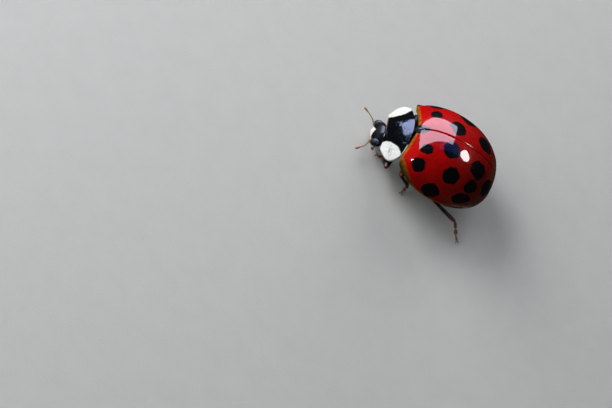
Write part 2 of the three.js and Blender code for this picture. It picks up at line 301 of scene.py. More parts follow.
def add_limb(bm, place, sides, rings, start_mark=0.0, end_mark=1.0):
    """Adds the closed skin of a limb shape, with the given marks along it."""
    along, across = marks(bm)
    ball = bmesh.ops.create_uvsphere(bm, u_segments=sides, v_segments=rings, radius=1)["verts"]
    for vert in ball:
        t = math.acos(clamp(vert.co.z, -1, 1)) / math.pi
        t = (1 - math.cos(math.pi * t)) / 2
        ring = Vector((vert.co.x, vert.co.y))
        ring = ring.normalized() if ring.length > 1e-6 else ring
        vert.co = place(t, ring.x, ring.y)
        vert[along] = mix(start_mark, end_mark, t)
        vert[across] = ring.x


def add_ball(bm, frame_matrix, radii, shape=None, sides=32, rings=24):
    """Adds a closed ellipsoid in a frame. shape may move each point, given on the unit ball."""
    along, across = marks(bm)
    ball = bmesh.ops.create_uvsphere(bm, u_segments=sides, v_segments=rings, radius=1)["verts"]
    for vert in ball:
        unit = vert.co.copy()
        vert[along], vert[across] = (1 - unit.x) / 2, (unit.y + 1) / 2
        place = Vector((unit.x * radii[0], unit.y * radii[1], unit.z * radii[2]))
        vert.co = frame_matrix @ (shape(unit, place) if shape else place)


def add_object(name, data):
    made = bpy.data.objects.new(name, data)
    bpy.context.scene.collection.objects.link(made)
    return made


def add_mesh(bm, name, material):
    """Turns a finished bmesh into a smooth object."""
    mesh = bpy.data.meshes.new(name)
    bm.to_mesh(mesh)
    bm.free()
    mesh.shade_smooth()
    mesh.materials.append(material)
    return add_object(name, mesh)


def keep_piece(bm, name, material, nodes):
    """Turns a finished bmesh into a piece that stands for its CAD nodes."""
    bmesh.ops.recalc_face_normals(bm, faces=bm.faces)
    bm.transform(TO_FRAME)
    piece = add_mesh(bm, name, material)
    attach(piece, "root")
    if nodes:
        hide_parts(*nodes)


# ---- node wiring

def plug(socket, value):
    if isinstance(value, bpy.types.NodeSocket):
        socket.id_data.links.new(value, socket)
    else:
        socket.default_value = value


def put(near, kind, inputs=(), **settings):
    """Adds a node to a tree, given the tree or one of its sockets."""
    made = near.id_data.nodes.new("ShaderNode" + kind)
    for name, value in settings.items():
        setattr(made, name, value)
    for key, value in dict(inputs).items():
        plug(made.inputs[key], value)
    return made


def first_socket(values):
    return next(value for value in values if isinstance(value, bpy.types.NodeSocket))


def calc(operation, *values):
    return put(first_socket(values), "Math", dict(enumerate(values)), operation=operation).outputs[0]


def both(a, b):
    return calc("MULTIPLY", a, b)


def either(a, b):
    return calc("MAXIMUM", a, b)


def vector(operation, *values):
    made = put(first_socket(values), "VectorMath", dict(enumerate(values)), operation=operation)
    return made.outputs["Value" if operation == "LENGTH" else "Vector"]


def join(x, y, z=0.0):
    return put(x, "CombineXYZ", {0: x, 1: y, 2: z}).outputs[0]


def axes(place):
    return put(place, "SeparateXYZ", {0: place}).outputs


def step(value, low, high):
    """A soft step of a value from 0 at low to 1 at high."""
    return put(value, "MapRange", {"Value": value, "From Min": low, "From Max": high},
               interpolation_type="SMOOTHSTEP").outputs["Result"]


def blend(factor, a, b):
    """Passes from a to b, each a socket or a colour."""
    made = put(factor, "Mix", data_type="RGBA")
    for key, value in (("Factor_Float", factor), ("A_Color", a), ("B_Color", b)):
        socket = next(s for s in made.inputs if s.identifier == key)
        plug(socket, value if isinstance(value, bpy.types.NodeSocket) else rgb(value))
    return next(s for s in made.outputs if s.identifier == "Result_Color")


def cloud(place, scale, detail=3.0, roughness=0.55):
    return put(place, "TexNoise",
               {"Vector": place, "Scale": scale, "Detail": detail, "Roughness": roughness}).outputs["Fac"]


def mapped(place, **settings):
    """A place after a Mapping node with the given Location, Rotation and Scale."""
    return put(place, "Mapping", {"Vector": place, **settings}).outputs[0]


def seen_from(place, frame_matrix):
    """A place in the insect's millimetres, measured in one of its tilted frames."""
    back = frame_matrix.inverted()
    return mapped(place, Rotation=back.to_euler("XYZ"), Location=back.translation)


def mark(place, name):
    """A number kept at the points of a piece, in the tree that the place belongs to."""
    return put(place, "Attribute", attribute_name=name).outputs["Fac"]


def rgb(colour, share=1.0):
    """A colour for a socket, darkened to a share of itself."""
    return (*(part * share for part in colour[:3]), 1.0)


def use_group(name, output, place, numbers, wire):
    """Puts in the node group of this name, which turns a place and a few numbers into one output.
    The group is made, and wired by the given function, the first time that it is used."""
    group = bpy.data.node_groups.get(name)
    if group is None:
        group = bpy.data.node_groups.new(name, "ShaderNodeTree")
        group.interface.new_socket(name="Place", in_out="INPUT", socket_type="NodeSocketVector")
        for key, value in numbers.items():
            socket = group.interface.new_socket(name=key, in_out="INPUT", socket_type="NodeSocketFloat")
            socket.default_value = value
        group.interface.new_socket(name=output, in_out="OUTPUT", socket_type="NodeSocketFloat")
        entry = group.nodes.new("NodeGroupInput")
        leave = group.nodes.new("NodeGroupOutput")
        group.links.new(wire(entry.outputs), leave.inputs[output])
    return put(place, "Group", node_tree=group, inputs={"Place": place, **numbers}).outputs[output]


def add_tone(place, scale):
    """Slow changes of tone over the cuticle, from 0 to 1."""
    def wire(entry):
        return step(cloud(entry["Place"], entry["Scale"], 4.0, 0.6), 0.3, 0.7)

    return use_group("Tone", "Tone", place, {"Scale": scale}, wire)


def add_pits(place, per_mm, width):
    """Fine punctures of the cuticle: a height that dips into small round pits."""
    def wire(entry):
        cells = put(entry["Place"], "TexVoronoi",
                    {"Vector": entry["Place"], "Scale": entry["Per Millimetre"], "Randomness": 0.9})
        edge = calc("DIVIDE", cells.outputs["Distance"], entry["Width"])
        return step(edge, 0.2, 1.0)

    return use_group("Pits", "Height", place, {"Per Millimetre": per_mm, "Width": width}, wire)


def new_material(name):
    """A material, and the surface's place in the insect's millimetres."""
    material = bpy.data.materials.new(name)
    material.use_nodes = True
    tree = material.node_tree
    tree.nodes.clear()
    put(tree, "OutputMaterial", {"Surface": put(tree, "BsdfPrincipled").outputs[0]})
    metres = put(tree, "TexCoord").outputs["Object"]
    return material, mapped(metres, Scale=(1 / MM,) * 3, Location=-SHIFT / MM)


def finish_material(material, colour, roughness, height, relief, **inputs):
    """Feeds the shader: relief is how far the height stands, in millimetres."""
    tree = material.node_tree
    shader = next(node for node in tree.nodes if node.type == "BSDF_PRINCIPLED")
    bump = put(tree, "Bump", {"Height": height, "Strength": 1.0, "Distance": relief * MM})
    plug(shader.inputs["Normal"], bump.outputs["Normal"])
    plug(shader.inputs["Base Color"], colour)
    plug(shader.inputs["Roughness"], roughness)
    for name, value in inputs.items():
        plug(shader.inputs[name.replace("_", " ")], value)
    return material


# ---- settings

def length(name, description, default, low=0.05, high=0.4):
    return FloatProperty(name=name, description=description + ", in millimetres", default=default,
                         min=low, max=high)


def shade(name, description, default):
    return FloatVectorProperty(name=name, description=description, subtype="COLOR", size=3,
                               default=default, min=0, max=1)


class LadybirdSizes(bpy.types.PropertyGroup):
    """Sizes that set the look of the pieces."""

    wall: length("Wall", "Thickness of a wing case at its crown", 0.12)
    front_margin: length("Shoulder margin", "Width of the flat rim at the shoulders", 0.12)
    rear_margin: length("Tail margin", "Width of the flat rim at the tail", 0.1)
    spot_size: FloatProperty(
        name="Spot size", description="Size of the black spots against their usual size",
        default=1.0, min=0.1, max=1.5, subtype="FACTOR",
    )
    hair_length: length("Hair length", "Length of the fine hairs on the legs", 0.07, 0.01, 0.2)
    hair_count: IntProperty(
        name="Hairs on a leg", description="Number of fine hairs on a usual length of a leg",
        default=110, min=0, max=1000,
    )


class LadybirdColours(bpy.types.PropertyGroup):
    """Colours of the cuticle."""

    red: shade("Red", "Wing cases", (0.55, 0.002, 0.002))
    amber: shade("Amber", "Thin rim of the wing cases", (0.42, 0.14, 0.008))
    black: shade("Black", "Spots, pronotum and head", (0.003, 0.003, 0.004))
    cream: shade("Cream", "Side patches of the pronotum and the face", (0.83, 0.82, 0.78))
    brown: shade("Brown", "Ends of the legs", (0.17, 0.045, 0.02))
    straw: shade("Straw", "Clubs of the feelers and the upper lip", (0.55, 0.33, 0.12))


# Shades that go with the colours above.
# The darker red of the tail: partly its own colour, partly painted shade.
TAIL_RED_AND_SHADE = (0.12, 0.004, 0.001)
HEM_BROWN = (0.30, 0.075, 0.014)
HEM_DARK = (0.15, 0.045, 0.012)
# Painted shade for the outer edge of the shoulder rims.
RIM_SHADE_OLIVE = (0.07, 0.045, 0.008)
PATCH_GREY = (0.5, 0.48, 0.42)
# Painted grey shade for the pit and crease in the pronotum's patches.
HOLLOW_SHADE_GREY = (0.3, 0.27, 0.2)
SHIELD_HEM = (0.2, 0.13, 0.08)
SCUTELLUM_PALE = (0.02, 0.016, 0.013)
HEAD_PALE = (0.015, 0.013, 0.012)
EYE_DARK = (0.006, 0.008, 0.009)
EYE_PALE = (0.045, 0.055, 0.066)
JAW_BROWN = (0.12, 0.03, 0.012)
PALP_BROWN = (0.34, 0.13, 0.12)
FEELER_BROWN = (0.5, 0.24, 0.09)
THIGH_DARK = (0.02, 0.012, 0.009)
SHIN_DARK = (0.035, 0.014, 0.009)
CLAW_BROWN = (0.3, 0.12, 0.05)
HAIR_BROWN = (0.32, 0.2, 0.1)
BELLY_DARK = (0.012, 0.009, 0.008)
BELLY_PALE = (0.03, 0.018, 0.012)
BELLY_EDGE = (0.28, 0.1, 0.03)
BLUE_SHEEN = rgb((0.5, 0.66, 1.0))
EYE_SHEEN = rgb((0.6, 0.78, 1.0))


# ---- stage

RIGHT_WAY = Vector((0.82167, 0.23890, 0.51748))
UP_WAY = Vector((-0.47861, 0.78222, 0.39883))
BACK_WAY = Vector((-0.30950, -0.57537, 0.75707))
LENS = 200
SENSOR = 36
CLIP = (0.01, 10)
IMAGE = (612, 408)
PIXELS_PER_MM = 18.4
AIM_PIXEL = (439.71, 158.27)

FLOOR_HALF = 0.4  # metres
FLOOR_PALE = (0.66, 0.66, 0.645)
FLOOR_DARK = (0.60, 0.60, 0.585)
AIR_COLOUR = (0.80, 0.86, 0.92)
AIR_LIGHT = 0.09
AIR_SHINE = 0.015

LIGHT_DISTANCE = 0.16  # metres
LIGHT_AIM = 2.4  # height in millimetres
UPRIGHT = (0, 0, 1)
WINDOW_SIDE = (0.94, 0.21, 0.27)
STRIP_SIDE = (-0.126, 0.953, -0.281)
WHITE = (1, 1, 1)
# Each light's name, the way to it, the way along its first side, both sides at a unit's distance,
# and its radiance, colour and shape. The reflected ones give no soft light, the soft ones no shine.
REFLECTED_LIGHTS = (
    ("window", (-0.407, 0.631, 0.663), WINDOW_SIDE, (1.30, 0.80), 5.4, (0.80, 0.81, 1.0), "RECTANGLE"),
    ("sky", (0.05, 0.27, 0.96), WINDOW_SIDE, (0.6, 0.36), 0.5, (0.05, 0.17, 1.0), "RECTANGLE"),
    ("strip", (0.450, 0.284, 0.845), STRIP_SIDE, (0.36, 0.19), 10.0, WHITE, "ELLIPSE"),
    ("glint", (-0.80, -0.47, 0.37), UPRIGHT, (0.045, 0.03), 250.0, WHITE, "ELLIPSE"),
)
SOFT_LIGHTS = (
    ("key", (-0.80, 0.46, 0.38), UPRIGHT, (0.55, 0.55), 9.8, WHITE, "RECTANGLE"),
    ("fill", (-0.93, -0.12, 0.35), UPRIGHT, (0.7, 0.7), 2.8, WHITE, "RECTANGLE"),
    ("side", (0.15, 0.95, 0.32), UPRIGHT, (0.6, 0.6), 4.5, WHITE, "RECTANGLE"),
)


def place_camera():
    """A long lens whose view of the animal has the wanted tilt, roll, scale and framing."""
    distance = IMAGE[0] * LENS / (SENSOR * PIXELS_PER_MM)
    aim = Vector((
        (AIM_PIXEL[0] - IMAGE[0] / 2) / PIXELS_PER_MM,
        (IMAGE[1] / 2 - AIM_PIXEL[1]) / PIXELS_PER_MM,
        -distance,
    ))
    swing = aim.normalized().rotation_difference(Vector((0, 0, -1))).to_matrix()
    ways = Matrix((RIGHT_WAY, UP_WAY, BACK_WAY)).transposed()
    turn = ways @ swing
    target = TO_FRAME @ Vector((0, 0, RIM_HEIGHT))
    lens = bpy.data.cameras.new("camera")
    lens.lens = LENS
    lens.sensor_width = SENSOR
    lens.clip_start, lens.clip_end = CLIP
    camera = add_object("camera", lens)
    camera.matrix_world = Matrix.Translation(target - turn @ aim * MM) @ turn.to_4x4()
    bpy.context.scene.camera = camera


def add_light(name, way, long_way, size, radiance, colour, shape):
    """A soft light in the given direction from the animal, facing it."""
    lamp = bpy.data.lights.new(name, "AREA")
    lamp.shape = shape
    lamp.size, lamp.size_y = (side * LIGHT_DISTANCE for side in size)
    lamp.energy = radiance * math.pi * lamp.size * lamp.size_y
    lamp.color = colour
    light = add_object(name, lamp)
    back = Vector(way).normalized()
    upward = back.cross(Vector(long_way)).normalized()
    turn = Matrix((upward.cross(back), upward, back)).transposed()
    target = TO_FRAME @ Vector((0, 0, LIGHT_AIM))
    light.matrix_world = Matrix.Translation(target + back * LIGHT_DISTANCE) @ turn.to_4x4()
    light.visible_camera = False
    return light


def floor_material():
    material, place = new_material("floor")
    colour = blend(cloud(place, 0.8, 5.0), FLOOR_DARK, FLOOR_PALE)
    return finish_material(material, colour, 0.65, cloud(place, 9.0, 3.0), 0.01)


def add_floor():
    bm = bmesh.new()
    bmesh.ops.create_grid(bm, x_segments=1, y_segments=1, size=FLOOR_HALF)
    floor = add_mesh(bm, "floor", floor_material())
    floor.visible_glossy = False
    floor.visible_diffuse = False


class LADYBIRD_OT_stage(bpy.types.Operator):
    """Pale floor, soft studio light and the camera"""

    bl_idname = "ladybird.stage"
    bl_label = "Stage"

    def execute(self, context):
        place_camera()
        add_floor()
        world = bpy.data.worlds.new("studio")
        world.use_nodes = True
        air = world.node_tree
        glossy = put(air, "LightPath").outputs["Is Glossy Ray"]
        strength = calc("MULTIPLY_ADD", glossy, AIR_SHINE - AIR_LIGHT, AIR_LIGHT)
        background = air.nodes["Background"]
        plug(background.inputs["Color"], rgb(AIR_COLOUR))
        plug(background.inputs["Strength"], strength)
        context.scene.world = world
        context.scene.view_settings.view_transform = "Standard"
        for row in REFLECTED_LIGHTS:
            add_light(*row).visible_diffuse = False
        for row in SOFT_LIGHTS:
            add_light(*row).visible_glossy = False
        return {"FINISHED"}


# ---- wing cases

DOME_SHARE = 0.78  # of a wing case's face, before the flat rim
BEND_SHARE = 0.86
BEND_RADIUS = 0.07
RIM_WALL = 0.07
RIM_LIFT = 0.05  # of the rim's outer edge
UNDER_RIM = 0.45  # width of the rim seen from below
EDGE_WALL = 0.05  # thickness of the front edge
CASE_EDGE = 0.02  # how far the rounded border stands out
CASE_CELLS = (96, 72)
SEAM = 0.004
SEAM_FOOT = SEAM + CASE_EDGE
HUMP_AT = 1.72
RIDGE_AT = 2.75


def case_front(y):
    sweep = FRONT_SWEEP * min(y / SWEEP_END, 1)
    corner = CORNER_DEPTH * (max(y - CORNER_START, 0) / CORNER_WIDTH) ** 2
    return -CASE_FRONT - sweep + corner


def case_arch(v):
    """How far across the dome a place lies, and how high on it, each from 0 to 1."""
    swing = min(v / DOME_SHARE, 1) * math.pi / 2
    return math.sin(swing) ** (2 / ARCH_POWER), max(math.cos(swing), 0) ** (2 / ARCH_POWER)


def case_length(u, across, tail):
    return mix(case_front(SHOULDER_HALF * across), tail, (1 - math.cos(math.pi * u)) / 2)


def case_outline(x, u, inset):
    """The outline's place beside x, where x lies on a line that is set in from it."""
    edge_x = x * (WIDEST_TO_REAR / (WIDEST_TO_REAR - inset) if x > 0 else 1)
    return edge_x, max(dome_half(edge_x, 0), SEAM_FOOT) if u < 1 else SEAM_FOOT


def case_relief(x, y, z, rise):
    """The dome's height with its hump, slow waves and the ridge before the tail."""
    z += 0.05 * mound(math.hypot(x + HUMP_AT, y - HUMP_AT), 0.34) * rise ** 0.5
    waves = 0.007 * noise.noise(Vector((x, y, z)) * 1.6)
    z += waves * smooth(0.0, 0.4, rise) * smooth(0.02, 0.3, y)
    return z + 0.02 * mound(x - RIDGE_AT, 0.12) * smooth(1.6, 0.9, y) * smooth(0.0, 0.5, rise)


def case_faces(sizes):
    """Outer and inner face of the right wing case, each from (u, v): u runs from the front edge
    to the tail and v from the seam to the outer edge."""
    def outer(u, v):
        across, rise = case_arch(v)
        x = case_length(u, across, WIDEST_TO_REAR - sizes.rear_margin)
        inset = mix(sizes.front_margin, sizes.rear_margin, smooth(-2.1, -0.4, x))
        rim = rim_at(x) + RIM_WALL
        half = max(dome_half(x, 0) - inset if x < 0 else dome_half(x, inset), SEAM_FOOT)
        half *= 1 - 0.025 * smooth(-1.8, -2.4, x)
        crown = max(dome_crown(x, sizes.rear_margin, 0), rim)
        y = SEAM_FOOT + (half - SEAM_FOOT) * across
        z = rim + BEND_RADIUS + max(crown - rim - BEND_RADIUS, 0) * rise
        z = case_relief(x, y, z, rise)
        if v <= DOME_SHARE:
            return Vector((x, y, z))
        edge_x, edge_y = case_outline(x, u, inset)
        out = Vector((edge_x - x, edge_y - y, 0))
        width = max(out.length, 1e-6)
        out /= width
        if v <= BEND_SHARE:
            turn = (v - DOME_SHARE) / (BEND_SHARE - DOME_SHARE) * math.pi / 2
            reach = BEND_RADIUS * (1 - math.cos(turn))
            drop = BEND_RADIUS * (1 - math.sin(turn))
            return Vector((x, y, rim + drop)) + out * reach
        part = (v - BEND_SHARE) / (1 - BEND_SHARE)
        reach = mix(BEND_RADIUS, width - 0.03, part)
        return Vector((x, y, rim + RIM_LIFT * part ** 2)) + out * reach

    def inner(u, v):
        thinned = 1 - smooth(0.0, 0.12, u)
        return hollow(u, v).lerp(outer(u, v) - Vector((0, 0, EDGE_WALL)), thinned)

    def hollow(u, v):
        across, rise = case_arch(v)
        x = case_length(u, across, WIDEST_TO_REAR - UNDER_RIM)
        rim = rim_at(x)
        half = max(dome_half(x, UNDER_RIM), SEAM_FOOT)
        crown = max(dome_crown(x, UNDER_RIM, sizes.wall), rim + 0.1)
        y = SEAM_FOOT + (half - SEAM_FOOT) * across
        place = Vector((x, y, rim + 0.06 + (crown - rim - 0.06) * rise))
        if v <= DOME_SHARE:
            return place
        edge_x, edge_y = case_outline(x, u, UNDER_RIM)
        edge = Vector((edge_x, edge_y, rim_at(edge_x)))
        edge -= (edge - place).normalized() * 0.03
        return place.lerp(edge, (v - DOME_SHARE) / (1 - DOME_SHARE))

    def way_out(u, v, past_u, past_v):
        if past_u > 0 or past_v < 0:
            way = Vector((0, -1, 0))
            if past_u < 0:
                way = (way * -past_v + step_out(outer, u, v, past_u, 0) * -past_u).normalized()
            return way
        return step_out(outer, u, v, past_u, past_v)

    return outer, inner, way_out


def spot_mask(place, spot_size):
    """1 inside a black spot and 0 outside, the same on both wing cases."""
    wobble = put(place, "TexNoise", {"Vector": place, "Scale": 2.6, "Detail": 1.0})
    wobble = vector("SUBTRACT", wobble.outputs["Color"], (0.5, 0.5, 0.5))
    place = vector("ADD", place, vector("MULTIPLY", wobble, (0.22, 0.22, 0.22)))
    x, y, z = axes(place)
    folded = join(x, calc("ABSOLUTE", y), z)
    nearest = None
    for centre, radius, squash in SPOTS:
        away = vector("SUBTRACT", folded, centre)
        away = vector("MULTIPLY", away, [1 / (radius * spot_size * s) for s in squash])
        away = vector("LENGTH", away)
        nearest = away if nearest is None else calc("MINIMUM", nearest, away)
    return step(nearest, 1.06, 0.94)


def wing_case_material(sizes, colours):
    """Red with black spots, browner towards the tail and darker there, partly with painted shade, and an
    amber rim and front edge with painted shade on the shoulders' outer edge.
    """
    material, place = new_material("wing_case")
    x, y, z = axes(place)
    along, across = mark(place, "along"), mark(place, "across")
    tone = add_tone(place, 1.1)

    red = blend(tone, colours.red, rgb(colours.red, 0.7))
    # Darker towards the tail: partly the red's own colour, partly painted shade for the weaker light on
    # the rear.
    red = blend(both(step(x, -0.2, 2.8), 0.62), red, TAIL_RED_AND_SHADE)
    end = calc("MULTIPLY_ADD", both(y, y), 0.06, x)
    hem = both(step(across, 0.45, 0.78), step(x, 0.2, 1.8))
    hem = either(hem, step(end, 2.2, 2.8))
    brown = blend(tone, HEM_BROWN, HEM_DARK)
    red = blend(both(hem, 0.85), red, brown)

    shoulder = step(x, -0.9, -1.5)
    corner = both(step(along, 0.3, 0.1), 0.17)
    rim = step(calc("ADD", across, corner), DOME_SHARE - 0.03, DOME_SHARE + 0.03)
    rim = either(both(rim, shoulder), step(across, 0.93, 0.98))
    rim = either(rim, step(along, 0.092, 0.06))
    mottle = step(cloud(place, 4.5, 4.0), 0.35, 0.65)
    amber = blend(mottle, colours.amber, rgb(colours.amber, 0.5))
    # Painted shade: the outer edge of the shoulder rims turns dark olive, as where the rim faces down,
    # away from the light.
    shaded_edge = both(step(across, DOME_SHARE - 0.1, 0.9), shoulder)
    amber = blend(shaded_edge, amber, RIM_SHADE_OLIVE)

    colour = blend(rim, red, amber)
    colour = blend(spot_mask(place, sizes.spot_size), colour, colours.black)
    pits = add_pits(place, 12.0, 0.35)
    relief = calc("MULTIPLY_ADD", cloud(place, 2.5, 1.0), 7.0, pits)
    roughness = calc("MULTIPLY_ADD", tone, 0.1, 0.2)
    return finish_material(material, colour, roughness, relief, 0.0035, Coat_Weight=1.0,
                           Coat_Roughness=0.03, Coat_IOR=1.65, Specular_IOR_Level=0.05)


class LADYBIRD_OT_wing_cases(bpy.types.Operator):
    """Both domed wing cases with their flat rims, seam and spots"""

    bl_idname = "ladybird.wing_cases"
    bl_label = "Wing cases"

    def execute(self, context):
        sizes = context.scene.ladybird_sizes
        material = wing_case_material(sizes, context.scene.ladybird_colours)
        outer, inner, way_out = case_faces(sizes)
        for side, sign in SIDES.items():
            bm = bmesh.new()
            add_shell(bm, outer, inner, CASE_CELLS, CASE_EDGE, way_out)
            bmesh.ops.scale(bm, vec=(1, sign, 1), verts=bm.verts)
            keep_piece(bm, f"wing_case_{side}", material, [f"elytron_{side}"])
        return {"FINISHED"}


# ---- pronotum and scutellum

PRONOTUM_CELLS = (60, 96)
PRONOTUM_EDGE = 0.03
CORNER_PIT = Vector((1.08, 1.4, 0))  # the hollow with painted shade: forward and aside


def pronotum_point(s, t, below=0.0):
    """A place on the shield: s runs from its hind edge to its front, t from left to right."""
    along, across = 2 * s - 1, t
    s = (along * math.sqrt(1 - PRONOTUM_CORNER * across ** 2) + 1) / 2
    t = across * math.sqrt(1 - PRONOTUM_CORNER * along ** 2)
    width = 1 - PRONOTUM_TAPER * (s - PRONOTUM_WIDEST) ** 2
    hind = 0.46 * t ** 2 + 1.4 * max(abs(t) - 0.7, 0) ** 2
    front = PRONOTUM_LENGTH + 0.155 * t ** 2
    forward = mix(hind, front, s)
    arch = PRONOTUM_ARCH * (abs(t) ** 2.2 + (1 - math.cos(math.pi * t)) / 2) * width ** 2
    sag = PRONOTUM_SAG * (forward / PRONOTUM_LENGTH) ** 2
    swell = PRONOTUM_SWELL * math.sin(math.pi * clamp(s)) * (1 - t ** 4)
    return Vector((-forward, t * PRONOTUM_HALF_WIDTH * width, swell - arch - sag - below))


def pronotum_faces():
    def outer(u, v):
        t = 2 * v - 1
        place = pronotum_point(u, t)
        place.y *= 0.985
        bead = smooth(0.9, 0.96, abs(t)) * 0.004
        gutter = mound(abs(t) - 0.9, 0.04) * 0.005
        dimple = 0.035 * mound(math.hypot(place.x + 1.08, abs(place.y) - 1.36), 0.11)
        behind = place.x + 1.1
        crease = 0.018 * mound(abs(place.y) - 1.2 - 0.25 * behind, 0.05) * mound(behind, 0.3)
        uneven = 0.02 * noise.noise(place * 1.9) * (1 - t ** 4)
        lean = 0.17 * t * (1 - t ** 2) ** 2
        place.z += bead - gutter - dimple - crease + uneven + lean
        return PRONOTUM @ place

    def inner(u, v):
        t = 2 * v - 1
        hollow = PRONOTUM_HOLLOW * (1 - t ** 4) * max(math.sin(math.pi * u), 0)
        return PRONOTUM @ pronotum_point(u, t, PRONOTUM_WALL + hollow)

    return outer, inner


def pronotum_material(colours):
    """Black with a cream patch on each side, cream hind tips and a thin pale front hem."""
    material, place = new_material("pronotum")
    x, y, z = axes(seen_from(place, PRONOTUM))
    forward = calc("MULTIPLY", x, -1.0)
    side = calc("ABSOLUTE", calc("SUBTRACT", y, 0.05))
    along = mark(place, "along")

    lean = calc("MULTIPLY_ADD", forward, 0.3, side)
    ahead = calc("DIVIDE", calc("SUBTRACT", forward, 1.17), 0.76)
    aside = calc("DIVIDE", calc("SUBTRACT", lean, 2.02), 0.82)
    ahead, aside = (calc("POWER", calc("ABSOLUTE", part), 2.4) for part in (ahead, aside))
    away = calc("SQRT", calc("ADD", ahead, aside))
    wobble = calc("MULTIPLY_ADD", cloud(place, 3.2, 3.0), 0.3, -0.15)
    patch = step(calc("ADD", away, wobble), 1.05, 0.93)
    hind_tip = both(step(along, 0.035, 0.012), step(side, 0.9, 1.1))
    pale = either(patch, hind_tip)

    grey = both(step(cloud(place, 5.0, 4.0), 0.48, 0.72), 0.3)
    cream = blend(grey, colours.cream, PATCH_GREY)
    # Painted shade: the cream greys in the pit and along the crease near the hind corner of each patch,
    # more on the left.
    middle = vector("SUBTRACT", join(forward, side), CORNER_PIT)
    furrow = mapped(middle, Rotation=(0, 0, math.radians(-21)), Scale=(8.0, 2.4, 1.0))
    hollow_shade = step(vector("LENGTH", furrow), 1.3, 0.4)
    hollow_shade = both(hollow_shade, step(cloud(place, 5.0, 3.0), 0.3, 0.6))
    hollow_shade = both(hollow_shade, step(y, 1.6, -0.4))
    cream = blend(both(hollow_shade, 0.8), cream, HOLLOW_SHADE_GREY)

    front = both(step(along, 0.965, 0.985), 0.6)
    black = blend(front, colours.black, SHIELD_HEM)
    colour = blend(pale, black, cream)
    pits = add_pits(place, 14.0, 0.4)
    relief = calc("MULTIPLY_ADD", cloud(place, 3.0, 1.0), 22.0, pits)
    roughness = calc("MULTIPLY_ADD", pale, 0.29, 0.13)
    return finish_material(material, colour, roughness, relief, 0.0015, Coat_Weight=0.45,
                           Coat_Roughness=0.04, Specular_IOR_Level=1.0, Specular_Tint=BLUE_SHEEN)


def scutellum_material(colours):
    material, place = new_material("scutellum")
    tone = add_tone(place, 3.0)
    colour = blend(tone, colours.black, SCUTELLUM_PALE)
    roughness = calc("MULTIPLY_ADD", tone, 0.132, 0.22)
    return finish_material(material, colour, roughness, add_pits(place, 16.0, 0.4), 0.004,
                           Coat_Weight=0.6, Coat_Roughness=0.06, Specular_IOR_Level=0.8,
                           Specular_Tint=BLUE_SHEEN)


class LADYBIRD_OT_pronotum(bpy.types.Operator):
    """The shield over the front of the thorax, and the small shield behind it"""

    bl_idname = "ladybird.pronotum"
    bl_label = "Pronotum and scutellum"

    def execute(self, context):
        colours = context.scene.ladybird_colours
        bm = bmesh.new()
        add_shell(bm, *pronotum_faces(), PRONOTUM_CELLS, PRONOTUM_EDGE)
        keep_piece(bm, "pronotum_shield", pronotum_material(colours), ["pronotum"])

        def pointed(unit, place):
            narrow = 1 - 0.55 * smooth(-0.2, 1.0, unit.x)
            return Vector((place.x, place.y * narrow, place.z))

        bm = bmesh.new()
        add_ball(bm, SCUTELLUM, SCUTELLUM_RADII, pointed)
        keep_piece(bm, "scutellum_shield", scutellum_material(colours), ["scutellum"])
        return {"FINISHED"}


# ---- head

def on_head(place, sign=1):
    """A place from a right-hand one on the head, or from the left one that mirrors it."""
    forward, across, up = place
    return HEAD @ Vector((-forward, sign * across, up))


def head_frame(place, sign=1):
    return Matrix.Translation(on_head(place, sign)) @ HEAD.to_3x3().to_4x4()


def capsule_shape(unit, place):
    """The head's brow, feeler sockets, seam and narrow face."""
    forward, across = -place.x, place.y
    top = smooth(-0.2, 0.4, unit.z)
    brow = 0.03 * mound(forward - 0.34, 0.08) * top
    socket = 0.07 * mound(math.hypot(forward - 0.28, abs(across) - 0.36), 0.09) * top
    seam = 0.012 * mound(forward - 0.24 - 0.3 * abs(across), 0.02) * top
    place.z += brow - socket - seam
    place.y *= 1 - 0.22 * smooth(0.15, 0.52, forward)
    return place


def lip_shape(unit, place):
    place.x += 0.05 * (abs(unit.y) ** 2)
    return place


def add_eye(bm, sign):
    for vert in bmesh.ops.create_icosphere(bm, subdivisions=5, radius=1)["verts"]:
        vert.co *= EYE_SWELL
    bmesh.ops.subdivide_edges(bm, edges=bm.edges, cuts=1, use_grid_fill=True)
    squash = Matrix.Diagonal((*EYE_RADII, 1))
    bmesh.ops.transform(bm, matrix=head_frame(EYE_AT, sign) @ squash, verts=bm.verts)


